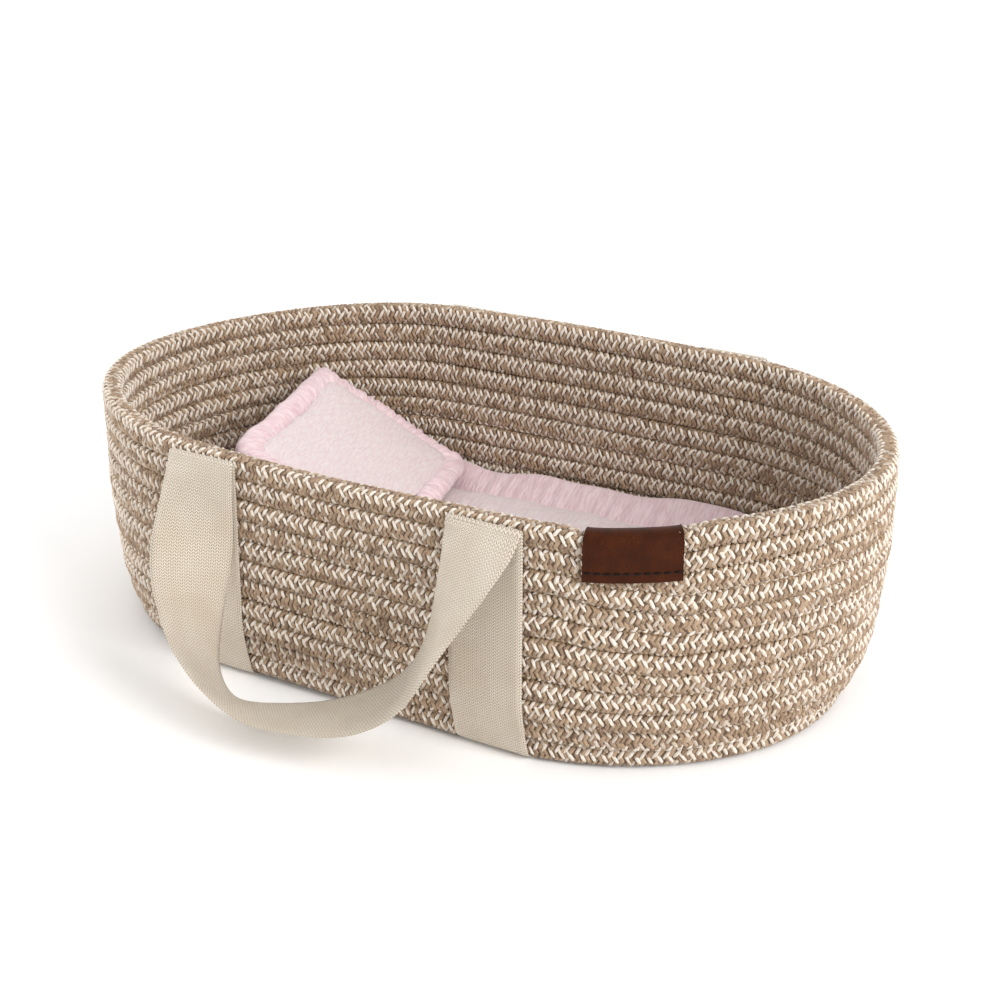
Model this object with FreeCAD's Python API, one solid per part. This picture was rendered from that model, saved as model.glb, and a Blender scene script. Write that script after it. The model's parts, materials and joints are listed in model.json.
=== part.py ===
import FreeCAD, Part

import math
import os

from FreeCAD import Placement, Rotation, Vector

# A doll-sized moses basket of coiled and sewn rope, with two webbing carry handles, a leather
# label folded over the rim, a mattress and a pillow.
#
# Millimetres, +Z up. The origin is on the floor under the middle of the basket, +X runs along
# the basket towards the foot end, and -Y is the side with the label. Every ring of rope is a
# racetrack: two straight runs joined by two half circles.

# ---- driving dimensions ---------------------------------------------------------------------

ROPE_WIDTH = 10.5            # across the wall
COURSE_HEIGHT = 11.7         # one course of the wall
ROPE_CORNER = 3.6            # rounding of the flattened rope
WALL_COURSES = 11
WALL_RADIUS = 120.2          # middle of the rope, at the half-round ends
BASE_HALF_STRAIGHT = 83.2    # half of the straight run, at the bottom
END_FLARE = 10.5             # how much further the ends reach at the rim
FLARED_BY_COURSE = 9         # the ends stand upright from this course up
BOTTOM_INSETS = (5.6, 2.6, 0.8)   # the lowest courses tuck in towards the base

BASE_ROWS = 10               # rings around the straight middle row of the base
BASE_THICKNESS = 10.5

STRAP_WIDTH = 40.0
STRAP_THICKNESS = 1.6
STRAP_MIDDLE = 82.0          # from the middle of the basket to the middle of each strap
STRAP_BEND = 10.8            # outer bend under the lowest course
STRAP_TURN_HEIGHT = 12.0     # where the base strap meets the upright leg

FRONT_HINGE_HEIGHT = 118.0   # the fold where the front handle leaves its legs
BACK_HINGE_HEIGHT = 132.0    # the back handle is sewn on higher, and folds just above the rim
HINGE_GAP = 0.35             # room between a leg and its handle

STITCH_ROW_DROP = 15.0       # from the fold down to the stitches that hold the leg
STITCH_LENGTH = 3.2
STITCH_WIDTH = 0.7
STITCH_PROUD = 0.4
STITCHES_PER_LEG = 8

THREAD_RADIUS = 0.5
THREAD_DEPTH = 0.7           # middle of the coil thread, in from the wall's outer face

LABEL_THICKNESS = 1.4
LABEL_START_DEG = 16.6       # around the foot end, from the -Y side
LABEL_SPAN_DEG = 19.9
LABEL_DROP = 29.3            # from the top of the rim to the label's lower edges
LABEL_STITCHES = 10
LABEL_STITCH_RISE = 4.5

MATTRESS_RADIUS = 99.0
MATTRESS_FLANGE = 12.0
MATTRESS_BOTTOM = 12.4
MATTRESS_TOP = 34.0
MATTRESS_FILLET = 8.0
MATTRESS_SEAM_HEIGHT = 26.0

PILLOW_LENGTH = 108.0        # down the slope, border included
PILLOW_WIDTH = 150.0         # across the basket, border included
PILLOW_THICKNESS = 18.0
PILLOW_CENTRE = Vector(-101.0, 26.0, 67.5)
PILLOW_TILT_DEG = 31.0
PILLOW_YAW_DEG = 18.5
PILLOW_FILLET = 7.0

BORDER = 10.0                # flat sewn border round the pillow
COVER = 0.8                  # muslin, two layers
BORDER_THICKNESS = 1.4
FILLING_GAP = 0.3

# Stations along a carry handle, from its left end to its right end, seen from outside:
# (along the basket, out from the hinge line, below it), then the direction of the webbing's width.
HANDLE_STATIONS = (
    ((-82.0, 0.8, 0.0), (-1.00, 0.00, 0.00)),
    ((-82.0, 2.6, 8.0), (-1.00, 0.05, 0.00)),
    ((-81.5, 7.5, 25.0), (-0.96, 0.26, 0.02)),
    ((-77.0, 18.0, 48.0), (-0.70, 0.70, 0.18)),
    ((-67.5, 31.0, 69.0), (-0.27, 0.86, 0.43)),
    ((-55.0, 42.0, 86.0), (0.00, 0.82, 0.57)),
    ((-37.0, 48.0, 96.0), (0.14, 0.84, 0.52)),
    ((-13.0, 46.5, 100.0), (0.17, 0.96, 0.22)),
    ((12.5, 41.0, 98.0), (0.24, 0.97, 0.04)),
    ((37.0, 34.0, 91.0), (0.33, 0.94, -0.12)),
    ((57.0, 28.0, 76.0), (0.43, 0.89, -0.13)),
    ((69.5, 22.5, 51.0), (0.62, 0.78, -0.03)),
    ((77.5, 12.5, 25.0), (0.88, 0.47, -0.03)),
    ((81.3, 4.6, 8.0), (0.99, 0.12, 0.00)),
    ((82.0, 0.8, 0.0), (1.00, 0.00, 0.00)),
)

HANDLE_STEPS = 4             # sections from one station to the next

# ---- worked out from them -------------------------------------------------------------------

WALL_OUTER = WALL_RADIUS + ROPE_WIDTH / 2
WALL_BOTTOM = STRAP_THICKNESS
RIM_TOP = WALL_BOTTOM + WALL_COURSES * COURSE_HEIGHT
RIM_HALF_STRAIGHT = BASE_HALF_STRAIGHT + END_FLARE
LEG_FACE = WALL_OUTER + STRAP_THICKNESS
HINGE_RADIUS = STRAP_THICKNESS
HINGE_OUT = LEG_FACE + HINGE_GAP
LEG_TOP_DROP = HINGE_RADIUS + HINGE_GAP
BASE_ROW_PITCH = (WALL_RADIUS - BOTTOM_INSETS[0] - ROPE_WIDTH / 2) / (BASE_ROWS + 0.5)

UP = Vector(0, 0, 1)
HALF_TURN = Placement(Vector(0, 0, 0), Rotation(UP, 180))


def save(shape, node):
    """Write one node, and say what was made."""
    shape.exportStep("parts/" + node + ".step")
    print(node, len(shape.Solids), "solid(s)", round(shape.Volume / 1000.0, 2), "cm3", shape.isValid())


def turned(shape):
    """The same shape on the opposite side of the basket."""
    copy = shape.copy()
    copy.Placement = HALF_TURN.multiply(copy.Placement)
    return copy


def course_half_straight(course):
    """Half of the straight run of one wall course, counted from 1 at the bottom."""
    rise = min(1.0, (course - 1) / (FLARED_BY_COURSE - 1))
    return BASE_HALF_STRAIGHT + END_FLARE * math.sin(rise * math.pi / 2)


def course_radius(course):
    """Radius of the middle of the rope, at the half-round ends of one wall course."""
    inset = BOTTOM_INSETS[course - 1] if course <= len(BOTTOM_INSETS) else 0.0
    return WALL_RADIUS - inset


def racetrack_face(half_straight, radius, z):
    """A flat racetrack-shaped face."""
    left = Vector(-half_straight, 0, z)
    right = Vector(half_straight, 0, z)
    side = Vector(0, radius, 0)
    end = Vector(radius, 0, 0)
    edges = [
        Part.LineSegment(left - side, right - side).toShape(),
        Part.Arc(right - side, right + end, right + side).toShape(),
        Part.LineSegment(right + side, left + side).toShape(),
        Part.Arc(left + side, left - end, left - side).toShape(),
    ]
    return Part.Face(Part.Wire(edges))


def racetrack_pad(half_straight, radius, low, high, fillet):
    """A racetrack-shaped pad with rounded upper and lower edges."""
    pad = racetrack_face(half_straight, radius, low).extrude(UP * (high - low))
    rounded = [e for e in pad.Edges if abs(e.BoundBox.ZLength) < 0.001]
    return pad.makeFillet(fillet, rounded)


def rope_section(x, radius, low, width, height):
    """Cross-section of flattened rope, standing in the YZ plane at x."""
    inner = radius - width / 2
    outer = radius + width / 2
    high = low + height
    c = ROPE_CORNER
    k = c * (1 - math.sqrt(0.5))
    corners = [
        (Vector(x, inner + c, low), Vector(x, outer - c, low), Vector(x, outer - k, low + k)),
        (Vector(x, outer, low + c), Vector(x, outer, high - c), Vector(x, outer - k, high - k)),
        (Vector(x, outer - c, high), Vector(x, inner + c, high), Vector(x, inner + k, high - k)),
        (Vector(x, inner, high - c), Vector(x, inner, low + c), Vector(x, inner + k, low + k)),
    ]
    edges = []
    for i, (start, end, bend) in enumerate(corners):
        following = corners[(i + 1) % 4][0]
        edges.append(Part.LineSegment(start, end).toShape())
        edges.append(Part.Arc(end, bend, following).toShape())
    return Part.Face(Part.Wire(edges))


def racetrack_ring(section, half_straight):
    """Sweep a section, given at x = half_straight on the +Y side, round a racetrack."""
    end = section.revolve(Vector(half_straight, 0, 0), UP, -180)
    side = section.extrude(Vector(-2 * half_straight, 0, 0))
    ring = end.fuse([side, turned(end), turned(side)])
    return ring.removeSplitter()


def rope_ring(half_straight, radius, low, width, height):
    """One closed ring of flattened rope."""
    section = rope_section(half_straight, radius, low, width, height)
    return racetrack_ring(section, half_straight)


def make_wall():
    """The wall: one ring of rope per course, each sewn to the one below."""
    for course in range(1, WALL_COURSES + 1):
        low = WALL_BOTTOM + (course - 1) * COURSE_HEIGHT
        ring = rope_ring(
            course_half_straight(course), course_radius(course), low, ROPE_WIDTH, COURSE_HEIGHT
        )
        save(ring, "wall_course_%02d" % course)


def make_base():
    """The base: a straight middle row with rings of rope sewn round it."""
    middle = racetrack_pad(
        BASE_HALF_STRAIGHT,
        BASE_ROW_PITCH / 2,
        WALL_BOTTOM,
        WALL_BOTTOM + BASE_THICKNESS,
        ROPE_CORNER,
    )
    save(middle, "base_row_00")
    for row in range(1, BASE_ROWS + 1):
        ring = rope_ring(
            BASE_HALF_STRAIGHT, row * BASE_ROW_PITCH, WALL_BOTTOM, BASE_ROW_PITCH, BASE_THICKNESS
        )
        save(ring, "base_row_%02d" % row)


def make_coil_thread():
    """Sewing thread lying in the grooves between the upright courses."""
    rings = []
    for course in range(len(BOTTOM_INSETS) + 1, WALL_COURSES):
        half_straight = (course_half_straight(course) + course_half_straight(course + 1)) / 2
        z = WALL_BOTTOM + course * COURSE_HEIGHT
        centre = Vector(half_straight, WALL_OUTER - THREAD_DEPTH, z)
        circle = Part.Circle(centre, Vector(1, 0, 0), THREAD_RADIUS).toShape()
        rings.append(racetrack_ring(Part.Face(Part.Wire([circle])), half_straight))
    save(Part.makeCompound(rings), "coil_thread")


def make_leg(middle, hinge_height):
    """One upright leg of webbing on the -Y side."""
    corner = Vector(middle - STRAP_WIDTH / 2, -LEG_FACE, STRAP_TURN_HEIGHT)
    height = hinge_height - LEG_TOP_DROP - STRAP_TURN_HEIGHT
    return Part.makeBox(STRAP_WIDTH, STRAP_THICKNESS, height, corner)


def make_straps():
    """The webbing on the basket: two straps under the base and four upright legs."""
    for side, middle in (("left", -STRAP_MIDDLE), ("right", STRAP_MIDDLE)):
        outer = rounded_trough(middle, LEG_FACE, 0.0, STRAP_BEND)
        inner = rounded_trough(middle, WALL_OUTER, STRAP_THICKNESS, STRAP_BEND - STRAP_THICKNESS)
        save(outer.cut(inner), "base_strap_" + side)
        save(make_leg(middle, FRONT_HINGE_HEIGHT), "front_leg_" + side)
        save(make_leg_stitches(middle, FRONT_HINGE_HEIGHT), "front_stitches_" + side)
        save(turned(make_leg(middle, BACK_HINGE_HEIGHT)), "back_leg_" + side)
        save(turned(make_leg_stitches(middle, BACK_HINGE_HEIGHT)), "back_stitches_" + side)


def rounded_trough(middle, half_depth, low, bend):
    """A block across the basket with its two lower long edges rounded."""
    corner = Vector(middle - STRAP_WIDTH / 2, -half_depth, low)
    block = Part.makeBox(STRAP_WIDTH, 2 * half_depth, STRAP_TURN_HEIGHT - low, corner)
    lower = []
    for edge in block.Edges:
        along = edge.BoundBox.XLength > STRAP_WIDTH / 2
        if along and edge.BoundBox.ZMax < low + 0.001:
            lower.append(edge)
    return block.makeFillet(bend, lower)


def make_leg_stitches(middle, hinge_height):
    """The row of stitches that holds a leg to the wall just under the fold."""
    pitch = STRAP_WIDTH / STITCHES_PER_LEG
    z = hinge_height - STITCH_ROW_DROP
    stitches = []
    for i in range(STITCHES_PER_LEG):
        x = middle + (i - (STITCHES_PER_LEG - 1) / 2) * pitch
        corner = Vector(x - STITCH_LENGTH / 2, -LEG_FACE - STITCH_PROUD, z)
        stitches.append(Part.makeBox(STITCH_LENGTH, STITCH_PROUD, STITCH_WIDTH, corner))
    return Part.makeCompound(stitches)


def line_through(points, steps):
    """Points on a smooth line through the given ones, with even steps between each pair."""
    before = points[0] * 2 - points[1]
    after = points[-1] * 2 - points[-2]
    held = [before] + list(points) + [after]
    line = []
    for a, b, c, d in zip(held, held[1:], held[2:], held[3:]):
        for step in range(steps):
            t = step / steps
            bend = (a * 2 - b * 5 + c * 4 - d) * (t * t)
            twist = (b * 3 - a - c * 3 + d) * (t * t * t)
            line.append((b * 2 + (c - a) * t + bend + twist) * 0.5)
    line.append(points[-1])
    return line


def handle_sections(hinge_height):
    """Centres and cross-sections of the webbing all along a handle on the -Y side."""
    places = []
    widths = []
    for (x, out, drop), width in HANDLE_STATIONS:
        places.append(Vector(x, -(HINGE_OUT + out), hinge_height - drop))
        widths.append(Vector(width[0], -width[1], width[2]))
    places = line_through(places, HANDLE_STEPS)
    widths = line_through(widths, HANDLE_STEPS)
    sections = []
    for i, p in enumerate(places):
        if i == 0 or i == len(places) - 1:
            along = UP
        else:
            along = (places[i + 1] - places[i - 1]).normalize()
        across = (widths[i] - along * along.dot(widths[i])).normalize()
        thick = along.cross(across).normalize()
        a = across * (STRAP_WIDTH / 2)
        t = thick * (STRAP_THICKNESS / 2)
        sections.append(Part.makePolygon([p - a - t, p + a - t, p + a + t, p - a + t, p - a - t]))
    return places, sections


def make_handle(hinge_height):
    """A carry handle on the -Y side: a loop of webbing with a hinge bead at both ends."""
    places, sections = handle_sections(hinge_height)
    ribbon = Part.makeLoft(sections, True, True)
    beads = []
    for middle in (-STRAP_MIDDLE, STRAP_MIDDLE):
        start = Vector(middle - STRAP_WIDTH / 2, -HINGE_OUT, hinge_height)
        beads.append(Part.makeCylinder(HINGE_RADIUS, STRAP_WIDTH, start, Vector(1, 0, 0)))
    handle = ribbon.fuse(beads)
    route = sum((places[i + 1] - places[i]).Length for i in range(len(places) - 1))
    print("handle webbing, fold to fold, about", round(route), "mm; lowest", round(handle.BoundBox.ZMin, 1))
    return handle


def make_handles():
    """The two carry handles, one on each side of the basket."""
    save(make_handle(FRONT_HINGE_HEIGHT), "front_handle")
    save(turned(make_handle(BACK_HINGE_HEIGHT)), "back_handle")


def label_profile(z_low, z_high, inner, outer):
    """A flat radial profile at the start of the foot end's half circle, on the -Y side."""
    x = RIM_HALF_STRAIGHT
    points = [
        Vector(x, -inner, z_low),
        Vector(x, -outer, z_low),
        Vector(x, -outer, z_high),
        Vector(x, -inner, z_high),
    ]
    return Part.Face(Part.makePolygon(points + points[:1]))


def round_foot_end(face, start_deg, span_deg):
    """Revolve a radial profile round the foot end, starting at an angle from the -Y side."""
    centre = Vector(RIM_HALF_STRAIGHT, 0, 0)
    solid = face.revolve(centre, UP, span_deg)
    solid.rotate(centre, UP, start_deg)
    return solid


def make_label():
    """The leather label, folded over the rim and sewn through, and its row of stitches."""
    outer = WALL_OUTER + LABEL_THICKNESS
    inner = WALL_OUTER - ROPE_WIDTH - LABEL_THICKNESS
    low = RIM_TOP - LABEL_DROP
    block = round_foot_end(
        label_profile(low, RIM_TOP + LABEL_THICKNESS, inner, outer), LABEL_START_DEG, LABEL_SPAN_DEG
    )
    channel = round_foot_end(
        label_profile(low - 1.0, RIM_TOP, WALL_OUTER - ROPE_WIDTH, WALL_OUTER),
        LABEL_START_DEG - 1.0,
        LABEL_SPAN_DEG + 2.0,
    )
    save(block.cut(channel), "leather_label")

    stitch_span = math.degrees(STITCH_LENGTH / outer)
    step = LABEL_SPAN_DEG / LABEL_STITCHES
    height = low + LABEL_STITCH_RISE
    profile = label_profile(height, height + STITCH_WIDTH, outer, outer + STITCH_PROUD)
    stitches = []
    for i in range(LABEL_STITCHES):
        middle = LABEL_START_DEG + (i + 0.5) * step
        stitches.append(round_foot_end(profile, middle - stitch_span / 2, stitch_span))
    save(Part.makeCompound(stitches), "label_stitches")


def make_mattress():
    """The mattress: a muslin cover with a flat sewn border, and the filling inside it."""
    body = racetrack_pad(
        BASE_HALF_STRAIGHT, MATTRESS_RADIUS, MATTRESS_BOTTOM, MATTRESS_TOP, MATTRESS_FILLET
    )
    border = racetrack_face(
        BASE_HALF_STRAIGHT, MATTRESS_RADIUS + MATTRESS_FLANGE, MATTRESS_SEAM_HEIGHT
    ).extrude(UP * BORDER_THICKNESS)
    room = racetrack_pad(
        BASE_HALF_STRAIGHT,
        MATTRESS_RADIUS - COVER,
        MATTRESS_BOTTOM + COVER,
        MATTRESS_TOP - COVER,
        MATTRESS_FILLET - COVER,
    )
    save(body.fuse(border).removeSplitter().cut(room), "mattress_cover")
    skin = COVER + FILLING_GAP
    filling = racetrack_pad(
        BASE_HALF_STRAIGHT,
        MATTRESS_RADIUS - skin,
        MATTRESS_BOTTOM + skin,
        MATTRESS_TOP - skin,
        MATTRESS_FILLET - skin,
    )
    save(filling, "mattress_filling")


def pillow_block(shrink):
    """The pillow's padded middle, lying flat at the origin, smaller all round by shrink."""
    size = Vector(PILLOW_LENGTH, PILLOW_WIDTH, PILLOW_THICKNESS)
    size = size - Vector(2 * BORDER, 2 * BORDER, 0) - Vector(2, 2, 2) * shrink
    block = Part.makeBox(size.x, size.y, size.z, size * -0.5)
    return block.makeFillet(PILLOW_FILLET - shrink, block.Edges)


def laid_on_slope(shape):
    """Move a shape made flat at the origin to where the pillow leans."""
    turn = Rotation(UP, PILLOW_YAW_DEG).multiply(Rotation(Vector(0, 1, 0), PILLOW_TILT_DEG))
    shape.Placement = Placement(PILLOW_CENTRE, turn)
    return shape


def make_pillow():
    """The pillow: a muslin cover with a flat sewn border, and the filling inside it."""
    half = Vector(PILLOW_LENGTH, PILLOW_WIDTH, BORDER_THICKNESS) * -0.5
    border = Part.makeBox(PILLOW_LENGTH, PILLOW_WIDTH, BORDER_THICKNESS, half)
    upright = [e for e in border.Edges if e.BoundBox.ZLength > BORDER_THICKNESS / 2]
    border = border.makeFillet(BORDER / 2, upright)
    cover = pillow_block(0.0).fuse(border).removeSplitter().cut(pillow_block(COVER))
    save(laid_on_slope(cover), "pillow_cover")
    save(laid_on_slope(pillow_block(COVER + FILLING_GAP)), "pillow_filling")


os.makedirs("parts", exist_ok=True)
make_base()
make_wall()
make_coil_thread()
make_straps()
make_handles()
make_label()
make_mattress()
make_pillow()
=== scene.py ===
import json
import math
from functools import partial

import bmesh
import bpy
import numpy as np
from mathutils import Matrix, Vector, noise


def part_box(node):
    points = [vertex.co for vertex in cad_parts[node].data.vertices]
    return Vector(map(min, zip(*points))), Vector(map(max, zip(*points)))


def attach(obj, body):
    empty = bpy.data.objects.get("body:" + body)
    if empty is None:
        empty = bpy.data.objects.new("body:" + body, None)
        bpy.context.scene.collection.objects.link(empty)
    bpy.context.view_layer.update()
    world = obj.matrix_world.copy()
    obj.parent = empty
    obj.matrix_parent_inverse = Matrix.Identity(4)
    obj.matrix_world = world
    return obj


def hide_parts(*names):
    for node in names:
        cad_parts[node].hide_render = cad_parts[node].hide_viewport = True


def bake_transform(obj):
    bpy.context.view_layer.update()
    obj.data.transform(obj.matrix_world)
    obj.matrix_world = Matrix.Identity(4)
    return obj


# A doll-sized moses basket: one long braided rope wound and sewn into a base and a wall, two
# bands of cotton webbing that run under the base and stand out as carry handles, a folded
# leather label, and a muslin mattress and pillow.
#
# Metres, +Z up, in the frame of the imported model: +X towards the foot end, -Y towards the label.

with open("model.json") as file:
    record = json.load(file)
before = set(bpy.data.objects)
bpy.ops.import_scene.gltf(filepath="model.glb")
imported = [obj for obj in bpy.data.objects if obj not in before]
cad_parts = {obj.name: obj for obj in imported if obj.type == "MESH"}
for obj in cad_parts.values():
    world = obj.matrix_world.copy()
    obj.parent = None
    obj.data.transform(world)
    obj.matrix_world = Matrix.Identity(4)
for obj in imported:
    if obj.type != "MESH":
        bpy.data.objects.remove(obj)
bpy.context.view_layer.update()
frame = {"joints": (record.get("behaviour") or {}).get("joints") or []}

MM = 0.001

# ---- sizes read from the frame --------------------------------------------------------------

first_low, first_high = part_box("wall_course_01")
last_low, last_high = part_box("wall_course_11")
leg_low, leg_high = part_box("front_leg_right")

WALL_OUTER = last_high.y
FLOOR_GAP = first_low.z                       # the rope rests on the straps, this far up
RIM_TOP = last_high.z
RIM_HALF_STRAIGHT = last_high.x - last_high.y
BASE_HALF_STRAIGHT = first_high.x - first_high.y
STRAP_MIDDLE = (leg_low.x + leg_high.x) / 2
STRAP_WIDTH = leg_high.x - leg_low.x

joint_places = {j["name"]: j["pos_m"] for j in frame["joints"] if "pos_m" in j}
FRONT_HINGE = Vector(joint_places["front_handle_swing"])
BACK_HINGE = Vector(joint_places["back_handle_swing"])

# ---- the rope -------------------------------------------------------------------------------

ROPE_WIDTH = 10.5 * MM
WALL_TURNS = 11                               # counted up to the left edge of the label
BASE_ROWS = 10
BASE_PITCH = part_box("base_row_02")[1].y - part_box("base_row_01")[1].y
BOTTOM_TUCK = 5.6 * MM                        # the lowest turn lies this much further in
TUCK_HEIGHT = 28 * MM
ROPE_GIRTH = 38.0 * MM                        # round the flattened rope
CORE_STEP = 3.0 * MM
CORE_SIDES = 20
CORE_SINK = 0.3 * MM                          # the core lies below the floats' edges
START_REACH = 0.97                            # how far in the rope starts, in turn heights
BRAID_ROWS = 12                               # rows of floats round the rope
FLOAT_SPACING = 2.45 * MM                     # along the rope
FLOAT_LENGTH = 3.3 * MM                       # along the rope
FLOAT_RISE = 6.3 * MM                         # round the rope
FLOAT_HALF_WIDTH = 0.92 * MM
WHITE_PROUD = 0.22 * MM                       # the white strands lie over the tan ones
FLOAT_BULGE = 0.6 * MM
FLOAT_SINK = 0.4 * MM
SECTION_POWER = 3.8                           # squareness of the flattened rope
LABEL_ANGLE = math.radians(26.55)             # the label's middle, round the foot end from -Y
ROPE_END = 0.984                              # the last turn ends under the label

FRONT_SAG = 10.7 * MM                         # the rim's middle hangs lower in front
BACK_RISE = 5.0 * MM                          # and stands higher at the back
END_DROP = 3.2 * MM                           # and its two ends lower
START_FLARE = 0.32                            # how far the wall flares over the rope's first turn
LABEL_DIP = 2.4 * MM                          # the label pinches the rim down
LABEL_DIP_REACH = 31 * MM

THREAD_RADIUS = 0.2 * MM
THREAD_STEP = 2.1 * MM                        # along the rope, from one prick to the next
THREAD_DIPS = ((0.125, 0.62 * MM), (0.185, 0.25 * MM))   # where round the rope, and how far out

# ---- label, mattress and pillow -------------------------------------------------------------

LABEL_START = math.radians(16.6)              # round the foot end from -Y
LABEL_SPAN = math.radians(19.9)
LABEL_DROP = 21.6 * MM                        # from the rim down to the label's lower edge
LABEL_THICKNESS = 1.4 * MM
LABEL_ROOM = 0.9 * MM                         # between the rope and the label
LABEL_STITCHES = 10
STITCH_ROW_RISE = 4.6 * MM                    # from the label's lower edge up to its stitches
LEG_STITCH_DROP = 15 * MM                     # from a fold down to the stitches across a leg
LEG_STITCHES = 8

PAD_RADIUS = 101 * MM                         # the mattress before it swells
PAD_BOTTOM = 13.5 * MM
PAD_TOP = 31.0 * MM
PAD_BACK_RISE = 5.5 * MM                      # its far edge is pushed up against the wall
SEAM_INSET = 7.0 * MM
PAD_BORDER_REACH = 113.0 * MM                 # the border stands up against the wall
PAD_BORDER_THICKNESS = 4.2 * MM
PAD_AROUND = 240                              # points round the pad, and round its border
PAD_BORDER_AROUND = 620
# The pad's section: in from its edge, and the height.
PAD_SECTION = (
    (100 * MM, PAD_TOP), (60 * MM, PAD_TOP), (20 * MM, PAD_TOP - 0.2 * MM), (5 * MM, PAD_TOP - 1.0 * MM),
    (1 * MM, PAD_TOP - 3 * MM), (0 * MM, PAD_TOP - 7 * MM), (0.5 * MM, PAD_BOTTOM + 4 * MM),
    (4 * MM, PAD_BOTTOM + 0.6 * MM), (9 * MM, PAD_BOTTOM), (60 * MM, PAD_BOTTOM), (100 * MM, PAD_BOTTOM),
)

PILLOW_CENTRE = np.array([-101.0, 26.0, 67.5]) * MM
PILLOW_HALF = np.array([54.0, 75.0]) * MM     # down the slope, across the basket
PILLOW_TILT = math.radians(31)
PILLOW_YAW = math.radians(18.5)
PILLOW_BORDER = 10.5 * MM
PILLOW_BORDER_THICKNESS = 10.6 * MM
PILLOW_AROUND = 160                           # points round the panel, and round its border
PILLOW_BORDER_AROUND = 420
# The panel's section: share of its outline, and height off its middle plane.
PILLOW_SECTION = (
    (0.4, 3.2 * MM), (0.75, 3.2 * MM), (0.92, 2.9 * MM), (0.99, 1.6 * MM), (1.0, 0.0),
    (0.99, -1.6 * MM), (0.92, -2.9 * MM), (0.75, -3.2 * MM), (0.4, -3.2 * MM),
)

BORDER_SIDES = 20                             # points across a gathered border, both faces
CLOTH_MASS = 0.0002
CLOTH_SLACK = 0.035
CLOTH_PRESSURE = 4.0
CLOTH_FRAMES = 20
# Crinkles of muslin: height, size across, size along, and which draw of the noise.
PAD_CRINKLES = ((0.55 * MM, 5.5 * MM, 40 * MM, 1), (0.9 * MM, 16 * MM, 24 * MM, 2))
PILLOW_CRINKLES = ((0.35 * MM, 5 * MM, 30 * MM, 3), (0.6 * MM, 14 * MM, 20 * MM, 4))
CRINKLE_DEPTH = 20 * MM

# ---- the webbing ----------------------------------------------------------------------------

WEBBING_THICKNESS = 1.2 * MM
WEBBING_ROOM = 0.45 * MM                      # between the rope and a leg
TURN_HEIGHT = 11 * MM                         # where a leg turns in under the base
UNDER_LIFT = 0.25 * MM                        # the runs under the base clear the floor
WEAVE_COLUMN = 1.15                           # half of a herringbone column, in mm
WEAVE_SLANT = 1.35
WEAVE_PITCH = 1.55                            # from one float to the next, in mm

# Stations along a handle, from its left end to its right end, seen from outside, in mm:
# (along the basket, out from the hinge line, below it), then the direction of its width.
HANDLE_STATIONS = (
    ((-82.0, 0.8, 0.0), (-1.00, 0.00, 0.00)),
    ((-82.0, 2.6, 8.0), (-1.00, 0.05, 0.00)),
    ((-81.5, 7.5, 25.0), (-0.96, 0.26, 0.02)),
    ((-77.0, 18.0, 48.0), (-0.70, 0.70, 0.18)),
    ((-67.5, 31.0, 69.0), (-0.27, 0.86, 0.43)),
    ((-55.0, 42.0, 86.0), (0.00, 0.82, 0.57)),
    ((-37.0, 48.0, 96.0), (0.14, 0.84, 0.52)),
    ((-13.0, 46.5, 100.0), (0.17, 0.96, 0.22)),
    ((12.5, 41.0, 98.0), (0.24, 0.97, 0.04)),
    ((37.0, 34.0, 91.0), (0.33, 0.94, -0.12)),
    ((57.0, 28.0, 76.0), (0.43, 0.89, -0.13)),
    ((69.5, 22.5, 51.0), (0.62, 0.78, -0.03)),
    ((77.5, 12.5, 25.0), (0.88, 0.47, -0.03)),
    ((81.3, 4.6, 8.0), (0.99, 0.12, 0.00)),
    ((82.0, 0.8, 0.0), (1.00, 0.00, 0.00)),
)

# ---- colours (sRGB) -------------------------------------------------------------------------

TAN = (0.65, 0.55, 0.45)
TAN_DEEP = (0.46, 0.365, 0.285)
TAN_LIGHT = (0.76, 0.67, 0.56)
WHITE_STRAND = (0.89, 0.87, 0.84)
# painted shade: the sunken core is coloured dark to stand for the shade between the floats
ROPE_CORE_PAINTED_SHADE = (0.36, 0.28, 0.21)
THREAD_TAN = (0.72, 0.58, 0.40)
CREAM = (0.87, 0.83, 0.77)
CREAM_DULL = (0.84, 0.79, 0.72)
# painted shade: the webbing's colour where its weave dips
CREAM_PAINTED_SHADE = (0.60, 0.53, 0.44)
LEATHER = (0.285, 0.13, 0.045)
LEATHER_DARK = (0.20, 0.085, 0.03)
LABEL_THREAD = (0.07, 0.03, 0.02)
PINK = (0.83, 0.785, 0.78)
# painted shade: the panel muslin's colour in the hollows of its crinkles
PINK_PAINTED_SHADE = (0.815, 0.735, 0.74)
BORDER_PINK = (0.86, 0.775, 0.785)
# painted shade: the border muslin's colour in the hollows of its crinkles
BORDER_PAINTED_SHADE = (0.815, 0.705, 0.72)

# ---- camera ---------------------------------------------------------------------------------

VIEW_TURN = math.radians(32.5)
VIEW_DOWN = math.radians(21.5)
VIEW_DISTANCE = 1.031
VIEW_TARGET = Vector((0.0, 0.0, 0.0659))


def add_camera():
    """A 70 mm camera looking down on the label's side of the foot end."""
    away = Vector((
        math.sin(VIEW_TURN) * math.cos(VIEW_DOWN),
        -math.cos(VIEW_TURN) * math.cos(VIEW_DOWN),
        math.sin(VIEW_DOWN),
    ))
    data = bpy.data.cameras.new("camera")
    data.lens = 70
    data.sensor_width = 36
    data.shift_x = 0.0178
    data.shift_y = 0.0095
    camera = bpy.data.objects.new("camera", data)
    camera.location = VIEW_TARGET + away * VIEW_DISTANCE
    camera.rotation_euler = (-away).to_track_quat("-Z", "Y").to_euler()
    bpy.context.scene.collection.objects.link(camera)
    bpy.context.scene.camera = camera


# ---- mesh helpers ---------------------------------------------------------------------------


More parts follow.
